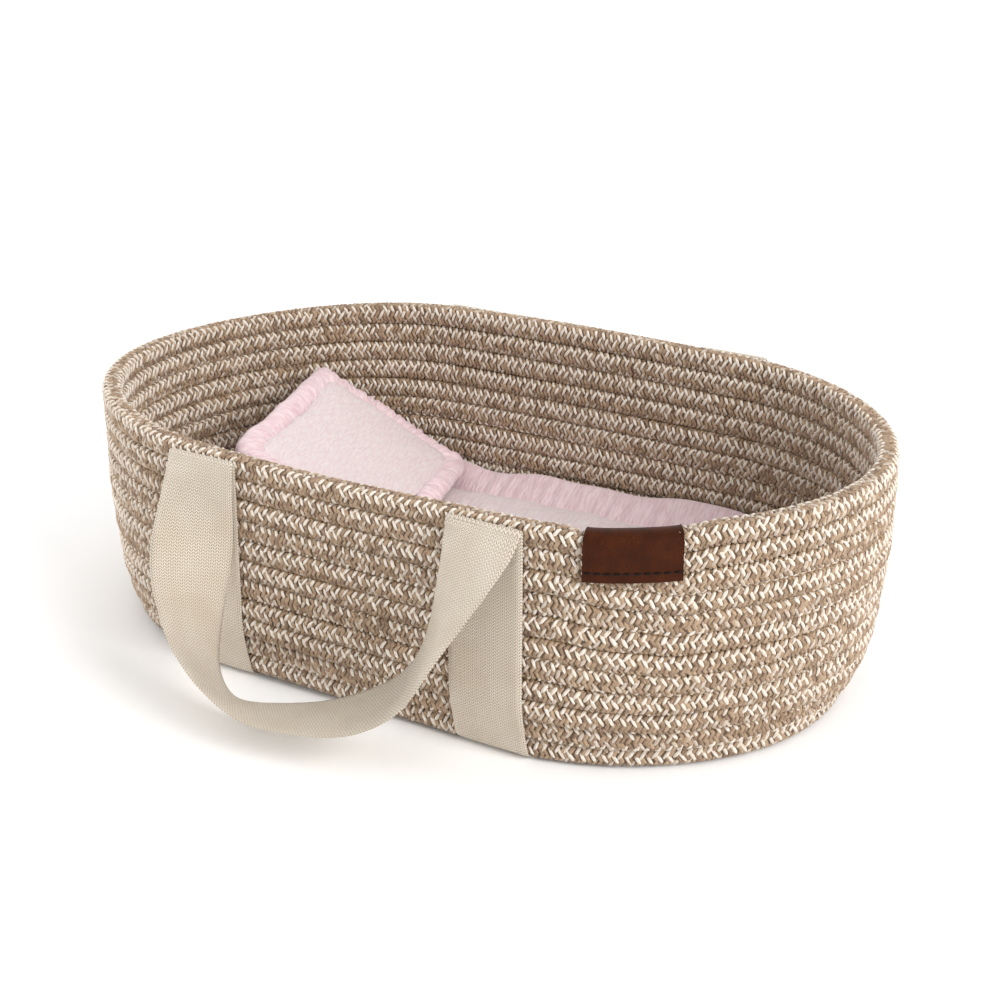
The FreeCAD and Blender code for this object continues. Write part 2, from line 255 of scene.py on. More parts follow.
def smoothstep(t):
    t = np.clip(t, 0.0, 1.0)
    return t * t * (3 - 2 * t)


def unit(vectors):
    """Vectors of length 1."""
    return vectors / np.linalg.norm(vectors, axis=-1, keepdims=True)


def distance_along(points):
    """The distance along a line of points, at each of them."""
    return np.concatenate([[0], np.cumsum(np.linalg.norm(np.diff(points, axis=0), axis=-1))])


def mesh_object(name, points, faces, attributes=()):
    """A smooth-shaded mesh object from arrays, with named float or vector point attributes."""
    points = np.asarray(points, np.float32).reshape(-1, 3)
    faces = np.asarray(faces, np.int32)
    mesh = bpy.data.meshes.new(name)
    corners = faces.shape[1]
    mesh.vertices.add(len(points))
    mesh.vertices.foreach_set("co", points.ravel())
    mesh.loops.add(faces.size)
    mesh.loops.foreach_set("vertex_index", faces.ravel())
    mesh.polygons.add(len(faces))
    mesh.polygons.foreach_set("loop_start", np.arange(len(faces), dtype=np.int32) * corners)
    mesh.polygons.foreach_set("use_smooth", np.ones(len(faces), bool))
    mesh.update(calc_edges=True)
    for key, values in attributes:
        values = np.asarray(values, np.float32)
        if values.ndim == 1:
            mesh.attributes.new(key, "FLOAT", "POINT").data.foreach_set("value", values)
        else:
            mesh.attributes.new(key, "FLOAT_VECTOR", "POINT").data.foreach_set("vector", values.ravel())
    mesh.validate()
    item = bpy.data.objects.new(name, mesh)
    bpy.context.scene.collection.objects.link(item)
    return item


def grid_faces(rows, columns, closed=False, start=0):
    """Quads over a grid of points stored row by row; closed joins the last column to the first."""
    row = np.arange(rows - 1)[:, None]
    column = np.arange(columns if closed else columns - 1)[None, :]
    following = (column + 1) % columns
    a = row * columns + column
    b = row * columns + following
    c = (row + 1) * columns + following
    d = (row + 1) * columns + column
    return np.stack([a, b, c, d], axis=-1).reshape(-1, 4) + start


def band_faces(rows, columns):
    """Quads of a closed flat band: columns points across each face, and both ends closed."""
    first = np.array([
        [i, i + 1, 2 * columns - 2 - i, 2 * columns - 1 - i] for i in range(columns - 1)
    ])
    last = first[:, ::-1] + (rows - 1) * 2 * columns
    return np.concatenate([grid_faces(rows, 2 * columns, closed=True), first, last])


def slow_noise(t, seed, waves=5, lowest=1):
    """Smooth noise of about unit size on a loop, t from 0 to 1."""
    random = np.random.default_rng(seed)
    total = np.zeros_like(t)
    for i in range(waves):
        size = random.normal() / math.sqrt(waves)
        total += size * np.sin(2 * math.pi * ((lowest + i) * t + random.random()))
    return total


# ---- where the rope runs --------------------------------------------------------------------


def racetrack(fraction, half_straight, radius):
    """Points and outward directions round a racetrack, starting at the label towards -X."""
    lead = LABEL_ANGLE * radius
    straight = 2 * half_straight
    arc = math.pi * radius
    s = np.mod(fraction, 1.0) * (2 * straight + 2 * arc)
    turn = LABEL_ANGLE - np.clip(s, 0, lead) / radius
    turn = turn - np.clip(s - lead - straight, 0, arc) / radius
    turn = turn - np.clip(s - lead - 2 * straight - arc, 0, None) / radius
    centre = half_straight - np.clip(s - lead, 0, straight)
    centre = centre + np.clip(s - lead - straight - arc, 0, straight)
    out = np.stack([np.sin(turn), -np.cos(turn)], axis=-1)
    place = np.stack([centre + radius * out[..., 0], radius * out[..., 1]], axis=-1)
    return place, out


def rim_drop(x, y):
    """How much lower than the planar rim the soft basket's rim is."""
    along = (x / (RIM_HALF_STRAIGHT + WALL_OUTER)) ** 2
    front = np.clip(-y / WALL_OUTER, 0, 1) ** 2
    back = np.clip(y / WALL_OUTER, 0, 1) ** 2
    label_x = RIM_HALF_STRAIGHT + WALL_OUTER * math.sin(LABEL_ANGLE)
    label_y = -WALL_OUTER * math.cos(LABEL_ANGLE)
    away = np.hypot(x - label_x, y - label_y) / LABEL_DIP_REACH
    near_label = np.exp(-away ** 6)
    sag = (FRONT_SAG * front - BACK_RISE * back) * (1 - along)
    return sag + END_DROP * along ** 1.5 + LABEL_DIP * near_label


def half_straight_at(z):
    """Half of the wall's straight run at a height: the ends flare outwards."""
    rise = np.clip((z - FLOOR_GAP - 6 * MM) / (94 * MM), 0, 1)
    return BASE_HALF_STRAIGHT + (RIM_HALF_STRAIGHT - BASE_HALF_STRAIGHT) * np.sin(rise * math.pi / 2)


def radius_at(z):
    """Radius of the middle of the rope at the half-round ends, at a height."""
    tuck = np.clip(1 - (z - FLOOR_GAP - 5 * MM) / TUCK_HEIGHT, 0, 1)
    return WALL_OUTER - ROPE_WIDTH / 2 - BOTTOM_TUCK * tuck ** 1.5


def turns_high(fraction):
    """How many turns stand between floor and rim: one more each time round, eased at the label."""
    fraction = np.mod(fraction, 1.0)
    left = 1 - smoothstep(fraction / 0.028)
    right = 1 - smoothstep((1 - fraction) / 0.022)
    return WALL_TURNS + fraction + 0.5 * left - 0.5 * right


def spiral_noise(turns, seed):
    """Smooth noise along the whole rope, so that it runs on from one turn to the next."""
    return slow_noise(turns / (WALL_TURNS + 1), seed, waves=72, lowest=24)


def wall_path(turn, fraction):
    """Middle of the rope, its outward direction and its height, along one turn of the wall."""
    flat, out = racetrack(fraction, RIM_HALF_STRAIGHT, WALL_OUTER)
    rim = RIM_TOP - rim_drop(flat[:, 0], flat[:, 1])
    height = (rim - FLOOR_GAP) / turns_high(fraction)
    low = FLOOR_GAP + height * (turn - 1 + fraction)
    inward = np.zeros_like(fraction)
    if turn == 0:
        climbed = np.clip(low + height - FLOOR_GAP, 0, height)
        beside = np.sqrt(np.clip((START_REACH * height) ** 2 - climbed ** 2, 0, None))
        inward = np.clip(beside - START_FLARE * climbed, 0, None)
        low = np.full_like(low, FLOOR_GAP)
    z = low + height / 2
    z = z + 0.25 * MM * spiral_noise(turn + fraction, 100)
    radius = radius_at(z) - inward + 0.25 * MM * spiral_noise(turn + fraction, 200)
    place, out = racetrack(fraction, half_straight_at(z), radius)
    return np.column_stack([place, z]), out, height


def base_path(row, fraction):
    """The same for one row of the base, counted from the middle."""
    wall, out, height = wall_path(0, fraction)
    first, _ = racetrack(fraction, half_straight_at(wall[:, 2]), radius_at(wall[:, 2]))
    inset = np.linalg.norm(wall[:, :2] - first, axis=1)
    radius = radius_at(wall[:, 2]) - inset - BASE_PITCH * (BASE_ROWS + 1 - row)
    radius = np.clip(radius, BASE_PITCH / 2, None)
    place, out = racetrack(fraction, BASE_HALF_STRAIGHT, radius)
    middle = np.column_stack([place, np.full(len(place), FLOOR_GAP + ROPE_WIDTH / 2)])
    return middle, out, np.full_like(height, BASE_PITCH)


# ---- the braid ------------------------------------------------------------------------------


def section_table():
    """Points and normals round the flattened rope, for half sizes of 1, at equal steps round it."""
    angle = np.linspace(0, 2 * math.pi, 721)
    power = 2 / SECTION_POWER
    out = np.sign(np.cos(angle)) * np.abs(np.cos(angle)) ** power
    up = np.sign(np.sin(angle)) * np.abs(np.sin(angle)) ** power
    along = distance_along(np.column_stack([out, up]))
    along = along / along[-1]
    normal_out = np.sign(out) * np.abs(out) ** (SECTION_POWER - 1)
    normal_up = np.sign(up) * np.abs(up) ** (SECTION_POWER - 1)
    size = np.hypot(normal_out, normal_up)
    return along, out, up, normal_out / size, normal_up / size


SECTION = section_table()


def rope_surface(path, end, distance, length, around, lift):
    """Points on a rope: distance along it, around it (0 outermost, 0.25 on top), lifted outwards."""
    t = end * distance / length
    samples = np.linspace(-0.01, end + 0.01, 1401)
    place, out, height = path(samples)
    place = np.stack([np.interp(t, samples, place[:, i]) for i in range(3)], axis=-1)
    out = unit(np.stack([np.interp(t, samples, out[:, i]) for i in range(2)], axis=-1))
    half_height = np.interp(t, samples, height) / 2 - 0.12 * MM
    half_width = ROPE_WIDTH / 2 - FLOAT_BULGE
    along, side, up, normal_side, normal_up = SECTION
    u = np.mod(around, 1.0)
    radial = half_width * np.interp(u, along, side) + lift * np.interp(u, along, normal_side)
    rise = half_height * np.interp(u, along, up) + lift * np.interp(u, along, normal_up)
    flat = place[..., :2] + out * radial[..., None]
    return np.concatenate([flat, (place[..., 2] + rise)[..., None]], axis=-1)


def path_length(path, end):
    return float(distance_along(path(np.linspace(0, end, 1201))[0])[-1])


def hidden_rows(centre, open_top, open_bottom):
    """Which rows of floats are pressed against a neighbouring turn."""
    on_top = np.abs(centre - 0.25) < 0.05
    below = np.abs(centre - 0.75) < 0.05
    return (on_top & (not open_top)) | (below & (not open_bottom))


def on_flat_sides(centre):
    """Rows of a base rope that lie on its upper and lower faces."""
    return np.abs(np.mod(centre + 0.25, 0.5) - 0.25) > 0.10


# One float: a grain bent over the rope, six points long and five points wide.
FLOAT_STEPS = np.array([-1.0, -0.74, -0.27, 0.27, 0.74, 1.0])
FLOAT_WIDTHS = np.array([0.30, 0.80, 1.0, 1.0, 0.80, 0.30])
FLOAT_LIFTS = np.array([-1.3, 0.15, 0.95, 0.95, 0.15, -1.3])
FLOAT_SIDES = np.array([-1.0, -0.62, 0.0, 0.62, 1.0])
FLOAT_SIDE_LIFTS = np.array([-1.25, -0.28, 0.05, -0.28, -1.25])
FLOAT_POINTS = len(FLOAT_STEPS) * len(FLOAT_SIDES)


def braid(name, path, lap, end=1.0, open_top=False, open_bottom=False, rows=None):
    """A braided rope: a core painted dark as the shade between the floats, and over it the floats of the
    strands, each a bent grain.
    """
    random = np.random.default_rng(lap + 100)
    length = path_length(path, end)
    count = 2 * round(length / FLOAT_SPACING / 2)
    spacing = length / count
    step, side = np.meshgrid(FLOAT_STEPS, FLOAT_SIDES, indexing="ij")
    width = FLOAT_WIDTHS[:, None] * side
    lift = FLOAT_BULGE * (FLOAT_LIFTS[:, None] + FLOAT_SIDE_LIFTS[None, :])
    lift = np.where(lift < 0, lift * FLOAT_SINK / FLOAT_BULGE, lift)
    direction = np.array([FLOAT_LENGTH, FLOAT_RISE])
    across = np.array([FLOAT_RISE, -FLOAT_LENGTH]) / np.hypot(*direction) * FLOAT_HALF_WIDTH
    parts = []
    for row in range(BRAID_ROWS):
        lean = 1 if row % 2 == 0 else -1
        s = (np.arange(count) + 0.5) * spacing
        drift = 0.8 * slow_noise((lap + s / length) / 40, 7, waves=24, lowest=2)
        middle = (row + 0.5 + drift) / BRAID_ROWS
        keep = ~hidden_rows(np.mod(middle, 1.0), open_top, open_bottom)
        if rows is not None:
            keep = keep & rows(np.mod(middle, 1.0))
        index = np.arange(count)[keep]
        total = len(index)
        s = s[keep] + 0.12 * spacing * random.normal(size=total)
        middle = middle[keep] + 0.10 / BRAID_ROWS * random.normal(size=total)
        bright = row % 4 < 2
        patch = slow_noise(index / count, lap * 31 + row, waves=6, lowest=3)
        odd = (index + (0 if lean > 0 else 1)) % 2 == 0
        lucky = random.random(total) < (0.98 if bright else 0.45) - 0.30 * (patch > 1.0)
        white = np.where(odd & lucky, 1.0 if bright else 0.55, 0.0)
        scale = (0.84 + 0.16 * white + 0.06 * random.normal(size=total))[:, None, None]
        plump = (1 + 0.08 * random.normal(size=total) - 0.06 * white)[:, None, None]
        proud = (WHITE_PROUD * (white - 0.4))[:, None, None]
        tilt = (1 + 0.15 * random.normal(size=total))[:, None, None]
        along_x = s[:, None, None] + direction[0] / 2 * step * scale * tilt + across[0] * width * plump
        round_y = direction[1] / 2 * step * scale + across[1] * width * plump
        seeds = random.random(total)[:, None, None] * 97.0
        grain = np.stack(np.broadcast_arrays(step * 3.0, side * 1.1, seeds), axis=-1)
        parts.append((
            along_x.ravel(),
            (middle[:, None, None] + lean * round_y / ROPE_GIRTH).ravel(),
            (lift * plump + proud * (lift > 0)).ravel(),
            np.repeat(white, FLOAT_POINTS),
            np.repeat(random.random(total), FLOAT_POINTS),
            grain.reshape(-1, 3),
        ))
    distance, around, height, white, shade, grain = [np.concatenate(kind) for kind in zip(*parts)]
    points = rope_surface(path, end, distance, length, around, height)
    pattern = grid_faces(len(FLOAT_STEPS), len(FLOAT_SIDES))
    first = np.arange(len(points) // FLOAT_POINTS) * FLOAT_POINTS
    faces = (pattern[None, :, :] + first[:, None, None]).reshape(-1, 4)
    core_rows = max(8, int(length / CORE_STEP))
    core_s, core_u = np.meshgrid(
        np.linspace(0, length, core_rows), np.arange(CORE_SIDES) / CORE_SIDES, indexing="ij"
    )
    sunk = np.full(core_s.shape, -CORE_SINK)
    core = rope_surface(path, end, core_s, length, core_u, sunk).reshape(-1, 3)
    core_faces = grid_faces(core_rows, CORE_SIDES, closed=True, start=len(points))
    blank = np.zeros(len(core))
    return mesh_object(
        name,
        np.concatenate([points, core]),
        np.concatenate([faces, core_faces]),
        (
            ("white", np.concatenate([white, blank])),
            ("shade", np.concatenate([shade, blank])),
            ("core", np.concatenate([np.zeros(len(points)), blank + 1])),
            ("grain", np.concatenate([grain, core * 300])),
        ),
    )


def make_wall(rope):
    """The wall: twelve turns of one rising spiral."""
    for turn in range(WALL_TURNS + 1):
        piece = braid(
            "rope_turn_%02d" % turn,
            partial(wall_path, turn),
            lap=turn,
            end=ROPE_END if turn == WALL_TURNS else 1.0,
            open_top=turn == WALL_TURNS,
            open_bottom=turn < 2,
        )
        finish_piece(piece, rope, "basket", "rope", "wall_course_%02d" % max(1, turn))


def make_base(rope):
    """The base: rows of the same rope, wound outwards from a straight middle row."""
    for row in range(BASE_ROWS + 1):
        path = middle_row_path if row == 0 else partial(base_path, row)
        piece = braid(
            "rope_base_%02d" % row, path, lap=row + 20, open_top=True, open_bottom=True,
            rows=on_flat_sides,
        )
        finish_piece(piece, rope, "basket", "rope", "base_row_%02d" % row)


def tube(points, radius, sides=5):
    """Points and faces of a thin tube along a line of points."""
    points = np.asarray(points)
    along = unit(np.gradient(points, axis=0))
    first = unit(np.cross(along, [0.3, 0.2, 0.93]))
    second = np.cross(along, first)
    angle = np.arange(sides) / sides * 2 * math.pi
    ring = (
        first[:, None, :] * np.cos(angle)[None, :, None]
        + second[:, None, :] * np.sin(angle)[None, :, None]
    )
    grid = points[:, None, :] + ring * np.broadcast_to(radius, len(points))[:, None, None]
    return grid.reshape(-1, 3), grid_faces(len(points), sides, closed=True)


def joined(pieces):
    """Several (points, faces) as one."""
    points, faces, start = [], [], 0
    for place, face in pieces:
        points.append(place)
        faces.append(face + start)
        start = start + len(place)
    return np.concatenate(points), np.concatenate(faces)


def sewn_groove(turn, face):
    """The thread's zigzag between one turn and the next, on the outer face (0) or inner (0.5)."""
    end = ROPE_END if turn + 1 == WALL_TURNS else 1.0
    lower, upper = partial(wall_path, turn), partial(wall_path, turn + 1)
    length = path_length(lower, end)
    count = int(length / THREAD_STEP * 2)
    s = np.linspace(0, length, count)
    inward = 1 if face == 0 else -1
    low, low_dip = [rope_surface(lower, end, s, length, face + inward * u, lift) for u, lift in THREAD_DIPS]
    high, high_dip = [rope_surface(upper, end, s, length, face - inward * u, lift) for u, lift in THREAD_DIPS]
    phase = (np.arange(count) % 4)[:, None]
    line = np.where(phase == 0, low, np.where(phase == 2, high, (low_dip + high_dip) / 2))
    return tube(line, THREAD_RADIUS, sides=4)


def make_thread(cotton):
    """The sewing thread that holds the turns together, seen in the grooves of both faces."""
    for side, face in (("outside", 0.0), ("inside", 0.5)):
        grooves = [sewn_groove(turn, face) for turn in range(1, WALL_TURNS)]
        piece = mesh_object("coil_thread_" + side, *joined(grooves))
        finish_piece(piece, cotton, "basket", "coil_thread", "coil_thread")


def middle_row_path(fraction):
    """The straight row in the middle of the base."""
    x = (BASE_HALF_STRAIGHT + 4 * MM) * (1 - 2 * fraction)
    place = np.column_stack([x, np.zeros_like(x), np.full_like(x, FLOOR_GAP + ROPE_WIDTH / 2)])
    out = np.column_stack([np.zeros_like(x), -np.ones_like(x)])
    return place, out, np.full_like(x, ROPE_WIDTH)


def finish_piece(piece, material, body, slot, *nodes):
    """Give a piece its material and body, and hide the CAD nodes that it stands for."""
    piece.data.materials.append(material)
    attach(piece, body)
    if nodes:
        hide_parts(*nodes)


# ---- webbing --------------------------------------------------------------------------------


def ribbon(name, places, widths, half_width, thickness, across=14):
    """A closed band of webbing along a line of places, with its width in the given directions."""
    along = unit(np.gradient(places, axis=0))
    widths = unit(widths - along * (widths * along).sum(1, keepdims=True))
    normal = np.cross(along, widths)
    run = distance_along(places)
    a = np.linspace(-1, 1, across)
    full = np.sqrt(np.clip(1 - np.abs(a) ** 26, 0.08, 1))
    side = np.concatenate([a, a[::-1]])
    depth = np.concatenate([full, -full[::-1]]) * thickness / 2
    points = (
        places[:, None, :]
        + widths[:, None, :] * (side * half_width)[None, :, None]
        + normal[:, None, :] * depth[None, :, None]
    )
    weave = np.stack(np.broadcast_arrays(
        side[None, :] * half_width / MM, run[:, None] / MM, (depth / thickness)[None, :]
    ), axis=-1)
    return mesh_object(name, points, band_faces(len(places), across), (("weave", weave.reshape(-1, 3)),))


def curve_through(points, per_span):
    """A smooth line through points, evenly divided between each pair of them."""
    p = np.asarray(points, float)
    p = np.vstack([2 * p[0] - p[1], p, 2 * p[-1] - p[-2]])
    rows = []
    for i in range(1, len(p) - 2):
        t = np.linspace(0, 1, per_span, endpoint=False)[:, None]
        a, b, c, d = p[i - 1], p[i], p[i + 1], p[i + 2]
        rows.append(0.5 * (
            2 * b + (c - a) * t + (2 * a - 5 * b + 4 * c - d) * t ** 2
            + (3 * b - a - 3 * c + d) * t ** 3
        ))
    rows.append(p[-2][None, :])
    return np.vstack(rows)


def leg_out_at(z):
    """How far out the middle of a leg's webbing lies, at a height: it hugs the wall."""
    return radius_at(z) + ROPE_WIDTH / 2 + WEBBING_THICKNESS / 2 + WEBBING_ROOM


def leg_line(x, hinge):
    """From the middle of the underside, up a leg on the -Y side, over the fold and half round it."""
    under = WEBBING_THICKNESS / 2 + UNDER_LIFT
    turn_out = leg_out_at(TURN_HEIGHT)
    corner = np.array([
        (0.0, under),
        (-60 * MM, under),
        (-(turn_out - 20 * MM), under),
        (-(turn_out - 9 * MM), under),
        (-(turn_out - 2.6 * MM), under + 3.0 * MM),
        (-turn_out, TURN_HEIGHT),
    ])
    z = np.linspace(TURN_HEIGHT + 8 * MM, hinge.z, 56)
    leg = np.column_stack([-leg_out_at(z), z])
    bend = curve_through(np.vstack([corner, leg[:1]]), 8)[:-1]
    leg_out = leg_out_at(hinge.z)
    handle_out = -hinge.y + 0.8 * MM
    middle = (leg_out + handle_out) / 2
    radius = (handle_out - leg_out) / 2
    angle = np.linspace(0, math.pi, 13)[1:-1]
    fold = np.column_stack([
        -(middle - radius * np.cos(angle)),
        hinge.z + radius * np.sin(angle) * 1.25,
    ])
    line = np.vstack([bend, leg, fold])
    return np.column_stack([np.full(len(line), x), line])


def front_band(hinge):
    """The whole band on the -Y side: base, leg, fold, handle, fold, leg, base."""
    stations = [
        (x * MM, hinge.y - out * MM, hinge.z - drop * MM) for (x, out, drop), _ in HANDLE_STATIONS
    ]
    width_directions = [(w[0], -w[1], w[2]) for _, w in HANDLE_STATIONS]
    handle = curve_through(stations, 12)
    widths = curve_through(width_directions, 12)
    left = leg_line(-STRAP_MIDDLE, hinge)
    right = leg_line(STRAP_MIDDLE, hinge)[::-1]
    places = np.vstack([left, handle, right])
    directions = np.vstack([
        np.tile([-1.0, 0, 0], (len(left), 1)), widths, np.tile([1.0, 0, 0], (len(right), 1))
    ])
    return places, directions


def make_webbing(webbing):
    """Two bands, one on each side, which meet under the middle of the base."""
    for name, side, hinge, strap in (
        ("front", -1, FRONT_HINGE, "base_strap_left"),
        ("back", 1, BACK_HINGE, "base_strap_right"),
    ):
        places, widths = front_band(Vector((0.0, -abs(hinge.y), hinge.z)))
        turned = [-side, -side, 1]
        half_width = STRAP_WIDTH / 2
        band = ribbon("webbing_" + name, places * turned, widths * turned, half_width, WEBBING_THICKNESS)
        handle = name + "_handle"
        finish_band(band, webbing)
        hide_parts(handle, name + "_leg_left", name + "_leg_right", strap)


def finish_band(band, webbing):
    """Give a band its material and bake its placement into its points; its shape already follows the basket
    up its legs and the handle after the folds.
    """
    band.data.materials.append(webbing)
    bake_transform(band)


# ---- stitches and label ---------------------------------------------------------------------


def stitches(name, ends, out, radius, arch):
    """A row of stitches: each a short thread that comes out, arches and goes back in."""
    t = np.linspace(0, 1, 9)[:, None]
    pieces = []
    for (a, b), away in zip(ends, out):
        line = a + (b - a) * t + away * arch * (np.sin(math.pi * t) * 2 - 1)
        pieces.append(tube(line, radius * (0.75 + 0.25 * np.sin(math.pi * t[:, 0])), sides=8))
    return mesh_object(name, *joined(pieces))


def make_leg_stitches(cotton):
    """The row of stitches across each leg, under the fold of its handle."""
    for side_name, side, hinge in (("front", -1, FRONT_HINGE), ("back", 1, BACK_HINGE)):
        z = hinge.z - LEG_STITCH_DROP
        y = side * (leg_out_at(z) + WEBBING_THICKNESS / 2)
        pitch = STRAP_WIDTH / (LEG_STITCHES + 0.5)
        for leg, middle in (("left", side * STRAP_MIDDLE), ("right", -side * STRAP_MIDDLE)):
            ends = []
            for i in range(LEG_STITCHES):
                x = middle + (i - (LEG_STITCHES - 1) / 2) * pitch
                ends.append((np.array([x - 1.6 * MM, y, z]), np.array([x + 1.6 * MM, y, z])))
            out = [np.array([0.0, side, 0.0])] * LEG_STITCHES
            piece = stitches("%s_leg_stitches_%s" % (side_name, leg), ends, out, 0.35 * MM, 0.3 * MM)
            finish_piece(piece, cotton, "basket", "strap_thread", "%s_stitches_%s" % (side_name, leg))


def label_profile(steps):
    """Across the rim: how far out from the rope's middle, and how far below the rim."""
    reach = ROPE_WIDTH / 2 + LABEL_THICKNESS / 2 + LABEL_ROOM
    fold = 5.0 * MM
    outer = np.linspace(-LABEL_DROP, -fold, steps)
    angle = np.linspace(0, math.pi, steps)
    out = np.concatenate([np.full(steps, reach), reach * np.cos(angle)[1:-1], np.full(steps, -reach)])
    up = np.concatenate([outer, (fold + 0.6 * MM) * np.sin(angle)[1:-1] - fold, outer[::-1]])
    return out, up


def make_label(leather, thread):
    """The leather label, folded over the rim and sewn through near its lower edge."""
    out, up = label_profile(16)
    profile = np.column_stack([out, up])
    slope = unit(np.gradient(profile, axis=0))
    run = distance_along(profile)
    angles = np.linspace(LABEL_START, LABEL_START + LABEL_SPAN, 36)
    layers = []
    hides = []
    for side in (1, -1):
        radial = out + slope[:, 1] * side * LABEL_THICKNESS / 2
        rise = up - slope[:, 0] * side * LABEL_THICKNESS / 2
        layers.append(label_place(angles[:, None], radial[None, :], rise[None, :]))
        hides.append(np.stack(np.broadcast_arrays(
            angles[:, None] * WALL_OUTER / MM, run[None, :] / MM, float(side)
        ), axis=-1))
    label = slab("leather_label", layers[0], layers[1], "hide", hides)
    bevel = label.modifiers.new("worn edges", "BEVEL")
    bevel.width = 0.35 * MM
    bevel.segments = 2
    bevel.limit_method = "ANGLE"
    finish_piece(label, leather, "basket", "leather", "leather_label")

    surface = ROPE_WIDTH / 2 + LABEL_THICKNESS + LABEL_ROOM
    half = 1.9 * MM / WALL_OUTER
    ends, outs = [], []
    for i in range(LABEL_STITCHES):
        angle = LABEL_START + (i + 0.5) / LABEL_STITCHES * LABEL_SPAN
        row = -LABEL_DROP + STITCH_ROW_RISE
        ends.append(tuple(
            label_place(np.array(angle + turn), np.array(surface), np.array(row)) for turn in (-half, half)
        ))
        outs.append(np.array([math.sin(angle), -math.cos(angle), 0.0]))
    piece = stitches("label_stitches_row", ends, outs, 0.5 * MM, 0.3 * MM)
    finish_piece(piece, thread, "basket", "label_thread", "label_stitches")


def label_place(angle, out, up):
    """A place near the rim at the foot end, which the soft rim's sag takes with it."""
    radius = WALL_OUTER - ROPE_WIDTH / 2 + out
    x = RIM_HALF_STRAIGHT + radius * np.sin(angle)
    y = -radius * np.cos(angle)
    rim = RIM_TOP - rim_drop(RIM_HALF_STRAIGHT + WALL_OUTER * np.sin(angle), -WALL_OUTER * np.cos(angle))
    return np.stack(np.broadcast_arrays(x, y, rim + up), axis=-1)


def slab(name, front, back, attribute, values):
    """A closed sheet between two grids of points of the same shape."""
    points = np.concatenate([front, back[:, ::-1]], axis=1)
    coordinates = np.concatenate([values[0], values[1][:, ::-1]], axis=1)
    return mesh_object(
        name, points, band_faces(*front.shape[:2]), ((attribute, coordinates.reshape(-1, 3)),)
    )


# ---- mattress and pillow --------------------------------------------------------------------


def evaluated_mesh(piece):
    """A piece's mesh with its modifiers, as new mesh data."""
    graph = bpy.context.evaluated_depsgraph_get()
    return bpy.data.meshes.new_from_object(piece.evaluated_get(graph))


def keep_modifiers(piece):
    """Apply a piece's modifiers."""
    mesh = evaluated_mesh(piece)
    piece.modifiers.clear()
    piece.data = mesh


def read_vectors(items, key):
    """The positions or normals of a mesh, as an array."""
    values = np.empty(len(items) * 3, np.float32)
    items.foreach_get(key, values)
    return values.reshape(-1, 3).astype(float)


def set_places(mesh, points):
    mesh.vertices.foreach_set("co", np.asarray(points, np.float32).ravel())
    mesh.update()


def swell(piece, voxel, cap):
    """Remesh a closed form evenly, and blow it up as cloth, no point moving further than cap."""
    remesh = piece.modifiers.new("even", "REMESH")
    remesh.mode = "VOXEL"
    remesh.voxel_size = voxel
    keep_modifiers(piece)
    start = read_vectors(piece.data.vertices, "co")
    cloth = piece.modifiers.new("cloth", "CLOTH")
    cloth.settings.quality = 5
    cloth.settings.mass = CLOTH_MASS
    cloth.settings.use_pressure = True
    cloth.settings.uniform_pressure_force = CLOTH_PRESSURE
    cloth.settings.shrink_min = -CLOTH_SLACK
    cloth.settings.effector_weights.gravity = 0
    cloth.collision_settings.use_collision = False
    cloth.point_cache.frame_start = 1
    cloth.point_cache.frame_end = CLOTH_FRAMES
    for frame_number in range(1, CLOTH_FRAMES + 1):
        bpy.context.scene.frame_set(frame_number)
    moved = read_vectors(evaluated_mesh(piece).vertices, "co") - start
    piece.modifiers.clear()
    far = np.linalg.norm(moved, axis=1, keepdims=True)
    moved = moved * np.minimum(1, cap / np.maximum(far, 1e-9))
    set_places(piece.data, start + moved)
    bpy.context.scene.frame_set(1)
    smooth = piece.modifiers.new("smooth", "SUBSURF")
    smooth.levels = 1
    keep_modifiers(piece)


def crinkles(points, layers):
    """How far muslin's crinkles lift each point: narrow ridges across X, long along Y."""
    lift = np.zeros(len(points))
    for height, across, along, seed in layers:
        shift = seed * 17.3
        lift += height * np.array([
            noise.noise((u + shift, v, w)) + 0.5 * noise.noise((u * 2.1 + shift, v * 1.7, w))
            for u, v, w in points / [across, along, CRINKLE_DEPTH]
        ])
    return lift


def finish_muslin(piece, coordinates, muslin, body, fill, *nodes):
    """Store the cloth's own coordinates in mm, and give the piece its material and body."""
    attribute = piece.data.attributes.new("cloth", "FLOAT_VECTOR", "POINT")
    attribute.data.foreach_set("vector", np.asarray(coordinates / MM, np.float32).ravel())
    for polygon in piece.data.polygons:
        polygon.use_smooth = True
    finish_piece(piece, muslin, body, "muslin", *nodes)


